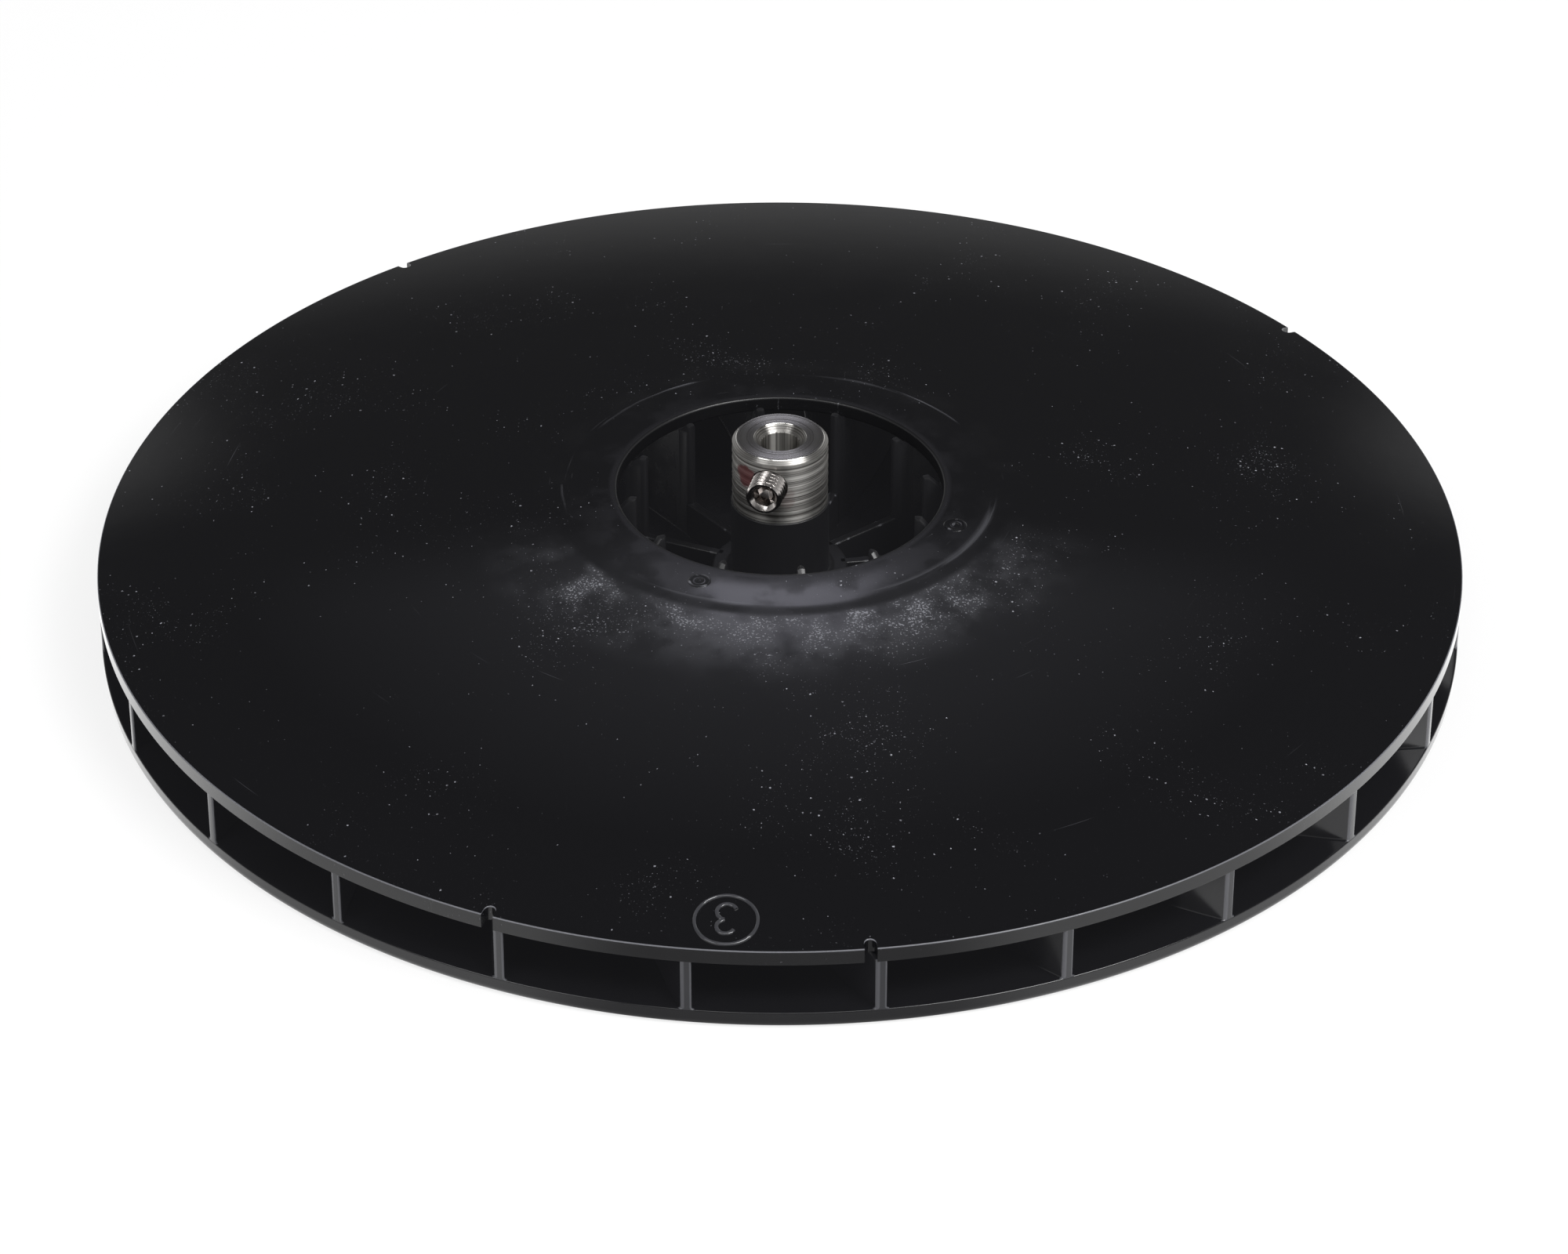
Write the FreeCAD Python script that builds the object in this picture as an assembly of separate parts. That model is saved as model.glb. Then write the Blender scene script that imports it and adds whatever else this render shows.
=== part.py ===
import FreeCAD, Part
import math
import os

# Inducer blower wheel, a closed centrifugal impeller of moulded plastic on a turned metal bushing.
# Millimetres. +Z is the wheel's axis, towards the inlet eye, and z = 0 is the back plate's back face.
# Angles are counted round the axis from the -Y side, positive towards +X.

# Wheel and blades
wheel_radius = 113.0
blade_pairs = 12
blade_thickness = 1.5
blade_arc_radius = 101.6
blade_sweep = 15.0
first_tip_angle = 7.92
tip_corner_round = 0.45
tip_setback = 0.02
long_root_radius = 24.6
short_blade_start = 8.0
hook_clearance = 0.2
hook_drop = 0.6

# Back plate with its boss and ribs
plate_thickness = 3.0
plate_edge_round = 1.4
boss_height = 22.7
boss_radius = 8.15
boss_edge_round = 0.15
boss_foot_radius = 11.3
rib_height = 9.5
rib_thickness = 1.5
weld_depth = 0.5

# Top shroud
rim_gap = 9.0
shroud_wall = 2.6
eye_radius = 27.0
eye_edge_round = 0.8
land_radius = 37.6
land_height = 25.6
dome_flats = 3
rim_edge_round = 0.4
notch_width = 1.96
notch_depth = 1.9
notch_tips = (0, 8, 14, 22)

# Bushing
bushing_radius = 7.94
shank_radius = 6.0
bushing_bottom = 0.5
bushing_stand = 12.0
bore_radius = 3.175
bore_chamfer = 1.2
rim_chamfer = 0.75
back_chamfer = 0.4

# Set screw, with its thread drawn at the pitch radius on both pieces
screw_angle = -14.0
screw_rise = 7.0
thread_radius = 2.88
thread_clearance = 0.03
screw_length = 7.94
screw_chamfer = 0.35
screw_bore_gap = 0.3
socket_across_flats = 3.175
socket_depth = 2.8
socket_mouth_radius = 2.2
cup_radius = 1.4
cup_depth = 0.7

# Values worked out from the sizes above
AXIS = FreeCAD.Vector(0, 0, 1)
ORIGIN = FreeCAD.Vector(0, 0, 0)
tip_count = 2 * blade_pairs
tip_pitch = 360.0 / tip_count
rim_top = plate_thickness + rim_gap + shroud_wall
land_underside = land_height - shroud_wall
hook_radius = eye_radius - hook_clearance
hook_height = land_height - hook_drop
bushing_top = boss_height + bushing_stand
screw_height = boss_height + screw_rise


def at(radius, angle, z=0.0):
    """The point at a radius and a wheel angle in degrees, at height z."""
    turn = math.radians(angle)
    return FreeCAD.Vector(radius * math.sin(turn), -radius * math.cos(turn), z)


def section(radius, z):
    """A point of a profile, drawn in the XZ plane before it is revolved."""
    return FreeCAD.Vector(radius, 0, z)


def lines_through(points):
    """The straight edges that join the points in turn."""
    return [Part.LineSegment(a, b).toShape() for a, b in zip(points, points[1:])]


def revolved(edges):
    """The solid that a closed profile makes when it turns once round the axis."""
    return Part.Face(Part.Wire(edges)).revolve(ORIGIN, AXIS, 360)


def round_corner(radius, z, size, side, down):
    """Three points of a profile's rounded corner, drawn as two flats.

    side is 1 where the material lies outward of the corner, and down is 1 where it lies below.
    """
    near = size * (1 - math.sqrt(0.5))
    return [
        section(radius, z - down * size),
        section(radius + side * near, z - down * near),
        section(radius + side * size, z),
    ]


def dome_height(radius):
    """The height of the dome's outside: a ball about the wheel's axis through the land's edge and the rim."""
    drop = land_height - rim_top
    spread = wheel_radius ** 2 - land_radius ** 2
    centre = (land_height + rim_top - spread / drop) / 2
    ball = math.hypot(land_radius, land_height - centre)
    return centre + math.sqrt(ball ** 2 - radius ** 2)


def dome_points(lift):
    """The shroud's shallow dome from its land to its rim, as a few flats, lifted by an amount."""
    points = []
    for i in range(dome_flats + 1):
        radius = land_radius + (wheel_radius - land_radius) * i / dome_flats
        points.append(section(radius, dome_height(radius) + lift))
    return points


def make_shroud():
    """The top shroud: inlet eye, flat land, dome, square rim and its keying notches."""
    eye = round_corner(eye_radius, land_height, eye_edge_round, 1, 1)
    rim = round_corner(wheel_radius, rim_top, rim_edge_round, -1, 1)
    profile = [section(eye_radius, land_underside)] + eye
    profile += dome_points(0)[:-1]
    profile += reversed(rim)
    profile += reversed(dome_points(-shroud_wall))
    profile.append(profile[0])
    return revolved(lines_through(profile)).cut(make_notches())


def notch_angle(tip):
    """A notch lies against the clockwise side of its blade's tip."""
    outward = at(1, blade_sweep)
    square = (at(wheel_radius, blade_sweep) - blade_centre()).normalize()
    lean_cosine = math.sqrt(1 - square.dot(outward) ** 2)
    offset = blade_thickness / 2 / lean_cosine + notch_width / 2
    return first_tip_angle + tip * tip_pitch - math.degrees(offset / wheel_radius)


def make_notches():
    """U-shaped cutters for the four keying notches in the shroud's rim."""
    cutters = []
    half = notch_width / 2
    bottom = rim_top - 2 * shroud_wall
    height = 3 * shroud_wall
    end = wheel_radius - notch_depth + half
    for tip in notch_tips:
        angle = notch_angle(tip)
        round_end = Part.makeCylinder(half, height, section(end, bottom))
        slot = Part.makeBox(notch_depth + half, notch_width, height, FreeCAD.Vector(end, -half, bottom))
        cutter = round_end.fuse(slot)
        cutter.rotate(ORIGIN, AXIS, angle - 90)
        cutters.append(cutter)
    return cutters


def blade_centre():
    """The centre of a blade's arc: the root is radial at angle 0, and the tip lies at the sweep."""
    across = wheel_radius * math.sin(math.radians(blade_sweep))
    along = wheel_radius * math.cos(math.radians(blade_sweep))
    arc_start = along - math.sqrt(blade_arc_radius ** 2 - (blade_arc_radius - across) ** 2)
    return FreeCAD.Vector(blade_arc_radius, -arc_start, 0)


def on_arc(radius, turn):
    """A point at a radius from the centre of a blade's arc, a turn in degrees along it."""
    angle = math.radians(turn)
    return blade_centre() - FreeCAD.Vector(math.cos(angle), math.sin(angle), 0) * radius


def tip_turn(radius):
    """The turn at which a side of a blade meets the flat end at the rim."""
    outward = at(1, blade_sweep)
    reach = wheel_radius - tip_setback - blade_centre().dot(outward)
    across = at(1, blade_sweep + 90) * math.sqrt(radius ** 2 - reach ** 2)
    corner = across - outward * reach
    return math.degrees(math.atan2(corner.y, corner.x))


def blade_side(radius, start_turn):
    """One side of a blade's arc, from its start to the rim."""
    end_turn = tip_turn(radius)
    return Part.Arc(
        on_arc(radius, start_turn),
        on_arc(radius, (start_turn + end_turn) / 2),
        on_arc(radius, end_turn),
    ).toShape()


def blade_envelope():
    """The space between plate and shroud that blades fill, with the step of their hooks in the eye."""
    floor = plate_thickness - weld_depth
    inner = boss_radius
    reach = wheel_radius + 1
    return revolved(lines_through([
        section(hook_radius, land_underside),
        section(hook_radius, hook_height),
        section(inner, hook_height),
        section(inner, floor),
        section(reach, floor),
        section(reach, rim_top - shroud_wall),
        *reversed(dome_points(-shroud_wall)),
        section(hook_radius, land_underside),
    ]))


def make_blade(start_turn, straight, envelope):
    """One blade: a round nose, a straight radial run, an arc, and a flat tip with rounded corners."""
    half = blade_thickness / 2
    outer = blade_arc_radius + half
    inner = blade_arc_radius - half
    back = at(-1, start_turn)
    nose = Part.Arc(
        on_arc(inner, start_turn) + back * straight,
        on_arc(blade_arc_radius, start_turn) + back * (straight + half),
        on_arc(outer, start_turn) + back * straight,
    ).toShape()
    edges = [nose, blade_side(outer, start_turn), blade_side(inner, start_turn)]
    edges += lines_through([on_arc(outer, tip_turn(outer)), on_arc(inner, tip_turn(inner))])
    if straight > 0:
        for side in (outer, inner):
            edges += lines_through([on_arc(side, start_turn), on_arc(side, start_turn) + back * straight])
    outline = Part.sortEdges(edges)[0]
    blade = Part.Face(Part.Wire(outline)).extrude(AXIS * land_height)
    outward = at(1, blade_sweep)
    corners = []
    for edge in blade.Edges:
        box = edge.BoundBox
        upright = box.XLength < 0.01 and box.YLength < 0.01
        if upright and edge.Vertexes[0].Point.dot(outward) > wheel_radius - 2 * tip_setback:
            corners.append(edge)
    return blade.makeFillet(tip_corner_round, corners).common(envelope)


def make_rib():
    """A low straight rib from the boss's foot to a long blade's root."""
    floor = plate_thickness - weld_depth
    start = FreeCAD.Vector(boss_radius + 1, -rib_thickness / 2, floor)
    rib = Part.makeBox(long_root_radius - start.x, rib_thickness, rib_height - floor, start)
    rib.rotate(ORIGIN, AXIS, -90)
    return rib


def turned(shape, angle):
    """A copy of a shape turned round the wheel's axis."""
    copy = shape.copy()
    copy.rotate(ORIGIN, AXIS, angle)
    return copy


def bushing_blank():
    """The bushing before it is bored: a narrow shank inside the boss and a head that sits on top of it."""
    return revolved(lines_through([
        section(0, bushing_bottom),
        section(shank_radius - back_chamfer, bushing_bottom),
        section(shank_radius, bushing_bottom + back_chamfer),
        section(shank_radius, boss_height),
        section(bushing_radius, boss_height),
        section(bushing_radius, bushing_top - rim_chamfer),
        section(bushing_radius - rim_chamfer, bushing_top),
        section(0, bushing_top),
        section(0, bushing_bottom),
    ]))


def make_back_plate():
    """Back plate, boss, ribs and both sets of blades, moulded as one piece round the bushing."""
    boss = round_corner(boss_radius, boss_height, boss_edge_round, -1, 1)
    rim = round_corner(wheel_radius, 0, plate_edge_round, -1, -1)
    plate = revolved(lines_through([
        section(0, 0),
        section(0, boss_height),
        *reversed(boss),
        section(boss_radius, rib_height),
        section(boss_foot_radius, rib_height),
        section(boss_foot_radius, plate_thickness),
        section(wheel_radius, plate_thickness),
        *rim,
        section(0, 0),
    ]))
    envelope = blade_envelope()
    straight = -blade_centre().y - long_root_radius
    long_blade = make_blade(0, straight, envelope)
    short_blade = make_blade(short_blade_start, 0, envelope)
    rib = make_rib()
    pieces = []
    for i in range(blade_pairs):
        angle = first_tip_angle + 2 * i * tip_pitch - blade_sweep
        pieces.append(turned(short_blade, angle))
        pieces.append(turned(long_blade, angle + tip_pitch))
        pieces.append(turned(rib, angle + tip_pitch))
    wheel = plate.fuse(pieces).removeSplitter()
    seat = Part.makeCylinder(shank_radius - back_chamfer, bushing_bottom + 1)
    return wheel.cut(bushing_blank()).cut(seat)


def radial_cylinder(radius, start, length):
    """A cylinder along the set screw's axis, from one distance off the wheel's axis outward."""
    base = at(start, screw_angle, screw_height)
    return Part.makeCylinder(radius, length, base, at(1, screw_angle))


def radial_cone(radius_in, radius_out, start, length):
    """A cone along the set screw's axis."""
    base = at(start, screw_angle, screw_height)
    return Part.makeCone(radius_in, radius_out, length, base, at(1, screw_angle))


def make_bushing():
    """Turned metal bushing with a chamfered bore and one tapped hole in its wall."""
    chamfer = bore_chamfer
    bore = revolved(lines_through([
        section(0, bushing_bottom),
        section(bore_radius + back_chamfer, bushing_bottom),
        section(bore_radius, bushing_bottom + back_chamfer),
        section(bore_radius, bushing_top - chamfer),
        section(bore_radius + chamfer, bushing_top),
        section(0, bushing_top),
        section(0, bushing_bottom),
    ]))
    tapped = radial_cylinder(thread_radius + thread_clearance, 0, bushing_radius + 1)
    return bushing_blank().cut([bore, tapped])


def make_set_screw():
    """Socket set screw with a cup point, backed out clear of the bore."""
    start = bore_radius + screw_bore_gap
    plain = screw_length - 2 * screw_chamfer
    small = thread_radius - screw_chamfer
    body = radial_cone(small, thread_radius, start, screw_chamfer)
    body = body.fuse(radial_cylinder(thread_radius, start + screw_chamfer, plain))
    body = body.fuse(radial_cone(thread_radius, small, start + screw_chamfer + plain, screw_chamfer))
    face = start + screw_length
    corner = socket_across_flats / math.sqrt(3)
    points = []
    for i in range(7):
        turn = math.radians(60 * i + 30)
        points.append(FreeCAD.Vector(corner * math.cos(turn), corner * math.sin(turn), 0))
    socket = Part.Face(Part.makePolygon(points)).extrude(AXIS * (socket_depth + 1))
    socket.Placement = FreeCAD.Placement(
        at(face - socket_depth, screw_angle, screw_height),
        FreeCAD.Rotation(AXIS, at(1, screw_angle)),
    )
    mouth_depth = socket_mouth_radius - socket_across_flats / 2
    mouth = radial_cone(socket_across_flats / 2, socket_mouth_radius, face - mouth_depth, mouth_depth)
    cup = radial_cone(cup_radius, 0, start, cup_depth)
    return body.removeSplitter().cut([socket, mouth, cup])


def export_piece(name, shape):
    """Write one piece as a STEP file of its own."""
    solids = shape.Solids
    print(name, "solids", len(solids), "volume", round(shape.Volume), "valid", shape.isValid())
    (solids[0] if len(solids) == 1 else shape).exportStep("parts/" + name + ".step")


os.makedirs("parts", exist_ok=True)
export_piece("top_shroud", make_shroud())
export_piece("bladed_back_plate", make_back_plate())
export_piece("hub_bushing", make_bushing())
export_piece("set_screw", make_set_screw())
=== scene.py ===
import math

import bpy
import numpy as np
from mathutils import Matrix, Vector


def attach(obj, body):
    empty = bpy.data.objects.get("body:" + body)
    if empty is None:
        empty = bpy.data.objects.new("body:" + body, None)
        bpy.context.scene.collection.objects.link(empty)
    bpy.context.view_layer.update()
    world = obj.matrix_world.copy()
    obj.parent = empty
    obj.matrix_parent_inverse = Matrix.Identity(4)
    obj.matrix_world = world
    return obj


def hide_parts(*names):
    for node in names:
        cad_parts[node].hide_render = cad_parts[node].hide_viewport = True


# An inducer blower wheel: two black plastic mouldings, welded blade to shroud, on a turned metal bushing.
# Sizes are millimetres and turn into metres at the mesh. Angles count round +Z from the -Y side towards +X.
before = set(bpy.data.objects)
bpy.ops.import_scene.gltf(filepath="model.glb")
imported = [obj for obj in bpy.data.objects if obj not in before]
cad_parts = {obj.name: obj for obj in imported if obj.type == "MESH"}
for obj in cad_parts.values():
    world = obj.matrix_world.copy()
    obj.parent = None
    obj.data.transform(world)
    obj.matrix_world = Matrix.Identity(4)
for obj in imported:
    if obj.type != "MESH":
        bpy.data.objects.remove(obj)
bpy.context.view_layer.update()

# The camera stands in front of the wheel and looks down at it through a long lens.
# It aims a little below and right of the wheel's foot, which keeps the real picture's framing.
MM = 0.001
camera_distance = 933.4
camera_elevation = math.radians(33.88)
camera_roll = math.radians(0.11)
lens_pixels = 7095.0
picture_width = 2000.0
sensor_width = 36.0
aim_right = 0.69
aim_down = 2.52

camera_data = bpy.data.cameras.new("studio_camera")
camera_data.sensor_width = sensor_width
camera_data.lens = lens_pixels / picture_width * sensor_width
camera_data.clip_start = 0.05
camera_data.clip_end = 50.0
camera = bpy.data.objects.new("studio_camera", camera_data)
bpy.context.scene.collection.objects.link(camera)
camera_place = Vector((0, -math.cos(camera_elevation), math.sin(camera_elevation))) * camera_distance
camera_up = Vector((0, math.sin(camera_elevation), math.cos(camera_elevation)))
aim_point = Vector((aim_right, 0, 0)) - camera_up * aim_down
camera_turn = (aim_point - camera_place).to_track_quat("-Z", "Y").to_matrix().to_4x4()
camera.matrix_world = (
    Matrix.Translation(camera_place * MM) @ camera_turn @ Matrix.Rotation(camera_roll, 4, "Z")
)
bpy.context.scene.camera = camera

# The back plate is one moulding of glossy black plastic: a flat disc with a boss, ribs and all the blades.
# It is moulded round the bushing, and its disc edge keeps the round of the mould's lower half.
wheel_radius = 113.0
plate_thickness = 3.0
plate_edge_round = 1.4
plate_lip_round = 0.25
boss_height = 22.7
boss_radius = 8.15
boss_edge_round = 0.15
boss_foot_radius = 11.3
boss_foot_fillet = 1.0
rib_height = 9.5
rib_edge_round = 0.3
shank_radius = 6.0
bushing_bottom = 0.5
turn_steps = 600
sharp_edge = math.radians(32)


def hex_colour(text):
    """An sRGB hex colour as linear red, green, blue and full alpha."""
    value = np.array([int(text[i:i + 2], 16) for i in (1, 3, 5)]) / 255.0
    linear = np.where(value <= 0.04045, value / 12.92, ((value + 0.055) / 1.055) ** 2.4)
    return (*linear.tolist(), 1.0)


def add_node(tree, kind, inputs=None, **settings):
    """Add a node with its settings, and set each input to a value or link it to a socket or a node."""
    item = tree.nodes.new(kind)
    for key, value in settings.items():
        setattr(item, key, value)
    for key, value in (inputs or {}).items():
        if isinstance(value, bpy.types.Node):
            value = next(socket for socket in value.outputs if socket.enabled)
        if isinstance(value, bpy.types.NodeSocket):
            tree.links.new(value, item.inputs[key])
        else:
            item.inputs[key].default_value = value
    return item


def make_piece(name, patches, material):
    """One mesh object from closed grids of points.

    A patch is (points, round_rows, paling): points[i, j] joins points[i + 1, j + 1], and the last column
    joins the first. The last row joins the first too where rows are round, and elsewhere one face closes each
    end row. The paling, from 0 to 1, is how far each point is paled: by handling on worn corners, and as a
    painted highlight on rounded edges that catch the light.
    """
    vertices = []
    faces = []
    paled = []
    start = 0
    for points, round_rows, wear_and_highlight in patches:
        rows, columns = points.shape[:2]
        index = start + np.arange(rows * columns).reshape(rows, columns)
        down = np.roll(index, -1, 0) if round_rows else index[1:]
        here = index if round_rows else index[:-1]
        quads = np.stack([here, np.roll(here, -1, 1), np.roll(down, -1, 1), down], 2).reshape(-1, 4)
        faces.extend(quads.tolist())
        if not round_rows:
            faces.append(index[0, ::-1].tolist())
            faces.append(index[-1].tolist())
        vertices.append(points.reshape(-1, 3) * MM)
        paled.append(np.broadcast_to(wear_and_highlight, (rows, columns)).ravel())
        start += rows * columns
    mesh = bpy.data.meshes.new(name)
    mesh.from_pydata(np.concatenate(vertices).tolist(), [], faces)
    mesh.materials.append(material)
    mesh.attributes.new("wear_and_highlight", "FLOAT", "POINT").data.foreach_set("value", np.concatenate(paled))
    mesh.shade_smooth()
    mesh.set_sharp_from_angle(angle=sharp_edge)
    piece = bpy.data.objects.new(name, mesh)
    bpy.context.scene.collection.objects.link(piece)
    return piece


def rounded(corners, steps=6, support=0.06):
    """A closed profile with rounded corners.

    Each corner (radius, z, round) becomes an arc that touches both its sides. The arc's middle lies on the
    corner's halving line, at the round over the sine of half the corner's angle. One more point just outside
    each end keeps the shading of the flats beside it.
    """
    count = len(corners)
    place = np.array([c[:2] for c in corners], float)
    points = []
    for i in range(count):
        size = corners[i][2]
        before = place[i - 1] - place[i]
        after = place[(i + 1) % count] - place[i]
        before /= np.linalg.norm(before)
        after /= np.linalg.norm(after)
        half = math.acos(np.clip(before @ after, -1, 1)) / 2
        reach = size / math.tan(half)
        middle = before + after
        middle = place[i] + middle / np.linalg.norm(middle) * size / math.sin(half)
        first = place[i] + before * reach - middle
        last = place[i] + after * reach - middle
        sweep = math.pi - 2 * half
        share = np.linspace(0, 1, steps + 1)[:, None]
        arc = (np.sin((1 - share) * sweep) * first + np.sin(share * sweep) * last) / math.sin(sweep)
        points.append([middle + first + before * support])
        points.append(middle + arc)
        points.append([middle + last + after * support])
    return np.concatenate(points)


def revolved(profile, angles):
    """The grid that a closed profile of radius and z makes, turned to each angle round the axis."""
    turn = angles[:, None]
    radius = profile[None, :, 0]
    height = np.broadcast_to(profile[None, :, 1], (len(angles), len(profile)))
    return np.stack([radius * np.sin(turn), -radius * np.cos(turn), height], 2)


full_turn = np.arange(turn_steps) / turn_steps * 2 * math.pi

plate_profile = rounded([
    (shank_radius, bushing_bottom, 0.05),
    (shank_radius - 0.4, 0.0, 0.05),
    (wheel_radius, 0.0, plate_edge_round),
    (wheel_radius, plate_thickness, plate_lip_round),
    (boss_foot_radius, plate_thickness, boss_foot_fillet),
    (boss_foot_radius, rib_height, rib_edge_round),
    (boss_radius, rib_height, boss_foot_fillet),
    (boss_radius, boss_height, boss_edge_round),
    (shank_radius, boss_height, 0.05),
])

# Blades leave the eye along a radius and turn onto an arc that leans them back at the rim.
# Every second one starts further out, under the shroud, and each ends in a bar with rounded corners.
blade_pairs = 12
blade_thickness = 1.5
blade_arc_radius = 101.6
blade_sweep = math.radians(15.0)
first_tip_angle = math.radians(7.92)
tip_corner_round = 0.45
tip_setback = 0.05
foot_fillet = 0.35
long_root_radius = 24.6
short_blade_start = math.radians(8.0)
hook_radius = 26.8
hook_height = 25.0
hook_round = 0.55
weld_depth = 0.4
weld_overlap = 0.15
hidden_round = 0.03
hook_step = 0.005
nose_start = 0.15
nose_gap = 0.3
nose_steps = 7
run_steps = 46
corner_gap = 0.2
corner_steps = 6
# Painted highlight: how far the tip's rounded corners and its end face are painted paler.
tip_edge_painted_highlight = 0.16
tip_face_painted_highlight = 0.05
rim_height = 14.6
shroud_wall = 2.6
eye_radius = 27.0
land_radius = 35.6
land_crown = 0.25
step_radius = 39.0
land_height = 25.6
step_drop = 0.54
tip_pitch = math.pi / blade_pairs


def shroud_height(radius):
    """The shroud's outside: a land that rounds off a little, a soft step down, and a ball out to the rim.

    The land falls with the square of its share of the way from eye to step. The ball is centred on the
    axis and passes through the step's foot and the rim. The step is a smooth blend from land to ball, three
    times the square less twice the cube of its share.
    """
    foot = land_height - step_drop
    drop = foot - rim_height
    centre = (foot + rim_height - (wheel_radius ** 2 - step_radius ** 2) / drop) / 2
    ball = math.hypot(step_radius, foot - centre)
    dome = centre + np.sqrt(ball ** 2 - np.minimum(radius, wheel_radius) ** 2)
    land = land_height - land_crown * (np.maximum(radius - eye_radius, 0) / (land_radius - eye_radius)) ** 2
    share = np.clip((radius - land_radius) / (step_radius - land_radius), 0, 1)
    share = share ** 2 * (3 - 2 * share)
    return land * (1 - share) + dome * share


arc_centre = np.array([
    blade_arc_radius,
    -wheel_radius * math.cos(blade_sweep)
    + math.sqrt(blade_arc_radius ** 2 - (blade_arc_radius - wheel_radius * math.sin(blade_sweep)) ** 2),
])
tip_outward = np.array([math.sin(blade_sweep), -math.cos(blade_sweep)])
tip_across = np.array([math.cos(blade_sweep), math.sin(blade_sweep)])


def tip_turn(side):
    """The turn along a blade's arc at which a line offset by side meets the flat end at the rim."""
    radius = blade_arc_radius + side
    reach = wheel_radius - tip_setback - arc_centre @ tip_outward
    across = np.sqrt(radius ** 2 - reach ** 2)
    corner = across[..., None] * tip_across - reach * tip_outward
    return np.arctan2(corner[..., 1], corner[..., 0])


def blade_grid(start_turn, straight):
    """A blade as a section carried along its centre line, for the root at angle 0.

    Stations run from the round nose over the straight run and the arc to the tip, where the last stretch
    narrows by the corner's round. A long blade drops from its hook between two stations. Seven points go up
    each side of the section: a small fillet at the foot, the wall, and the rounding at the top.
    """
    half = blade_thickness / 2
    nose = half * (1 - np.cos(np.linspace(nose_start, math.pi / 2, nose_steps)))
    corner = tip_corner_round * (1 - np.sin(np.linspace(0, math.pi / 2, corner_steps)))
    length = blade_arc_radius * (tip_turn(np.zeros(1))[0] - start_turn)
    whole = length + straight
    steps = np.linspace(half + nose_gap, whole - tip_corner_round - corner_gap, run_steps)
    hook_end = 0.0
    if straight:
        hook_end = hook_radius - long_root_radius + half
        steps = np.sort(np.concatenate([steps, [hook_end - hook_step, hook_end + hook_step]]))
    travel = np.concatenate([nose, steps, whole - corner])
    width = np.full(len(travel), half)
    width[:nose_steps] = np.sqrt(half ** 2 - (half - nose) ** 2)
    bend = np.sqrt(tip_corner_round ** 2 - (tip_corner_round - corner) ** 2)
    width[-corner_steps:] = half - tip_corner_round + bend
    top_round = np.where(travel < hook_end, np.minimum(hook_round, 0.8 * width), hidden_round)[:, None]
    travel = travel - half * (1 - travel / whole)
    foot = plate_thickness
    flare = foot_fillet * np.array([1, 1, 0.3, 0, 0, 0, 0]) - top_round * np.array([0, 0, 0, 0, 0, 0.3, 1])
    side = np.concatenate([width[:, None] + flare, -(width[:, None] + flare)[:, ::-1]], 1)
    past = travel[:, None] - straight
    end_share = np.clip(past / length, 0, 1)
    turn = start_turn + end_share * (tip_turn(side) - start_turn)
    radius = blade_arc_radius + side
    x = arc_centre[0] - radius * np.cos(turn)
    y = arc_centre[1] - radius * np.sin(turn)
    back = np.minimum(past, 0)
    x = x + back * math.sin(start_turn)
    y = y - back * math.cos(start_turn)
    out = np.hypot(x[:, 3], y[:, 3])
    top = shroud_height(out) - shroud_wall + weld_overlap
    top = np.where(out < hook_radius, hook_height, top)
    ones = np.ones(len(travel))
    heights = np.stack([(foot - weld_depth) * ones, foot * ones, (foot + 0.1) * ones,
                        (foot + foot_fillet) * ones, top, top, top], 1)
    heights[:, 4:] -= top_round * np.array([1, 0.3, 0])
    z = np.concatenate([heights, heights[:, ::-1]], 1)
    # The tip's rounded corners and its end face are painted paler: painted highlights on each bar.
    wear_and_highlight = np.zeros(z.shape)
    wear_and_highlight[1 - corner_steps:-1, 1:-1] = tip_edge_painted_highlight
    wear_and_highlight[-1] = tip_face_painted_highlight
    return np.stack([x, y, z], 2), wear_and_highlight


def turned(points, angle):
    """Points turned round the wheel's axis, positive from the -Y side towards +X."""
    cos, sin = math.cos(angle), math.sin(angle)
    x, y, z = points[..., 0], points[..., 1], points[..., 2]
    return np.stack([x * cos - y * sin, x * sin + y * cos, z], -1)


# Low straight ribs tie the boss's foot to the long blades, with a small round along their top edges.
# That round is painted paler: a painted highlight line.
rib_thickness = 1.5
rib_sink = 1.0
rib_overlap = 0.3
rib_edge_painted_highlight = 0.22


def rib_grid():
    """A rib as a rounded rectangle carried from inside the boss to the blade's root."""
    half = rib_thickness / 2
    section = rounded([
        (-half, plate_thickness - weld_depth, 0.05),
        (half, plate_thickness - weld_depth, 0.05),
        (half, rib_height, rib_edge_round),
        (-half, rib_height, rib_edge_round),
    ], 4, 0.02)
    radii = np.linspace(boss_foot_radius - rib_sink, long_root_radius + rib_overlap, 12)
    x = np.broadcast_to(section[None, :, 0], (len(radii), len(section)))
    y = -np.broadcast_to(radii[:, None], x.shape)
    z = np.broadcast_to(section[None, :, 1], x.shape)
    # The top edges' rounds are painted paler: a painted highlight.
    within = rib_edge_round - 0.02
    wear_and_highlight = (np.abs(x) > half - within) & (z > rib_height - within)
    return np.stack([x, y, z], 2), rib_edge_painted_highlight * wear_and_highlight


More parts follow.
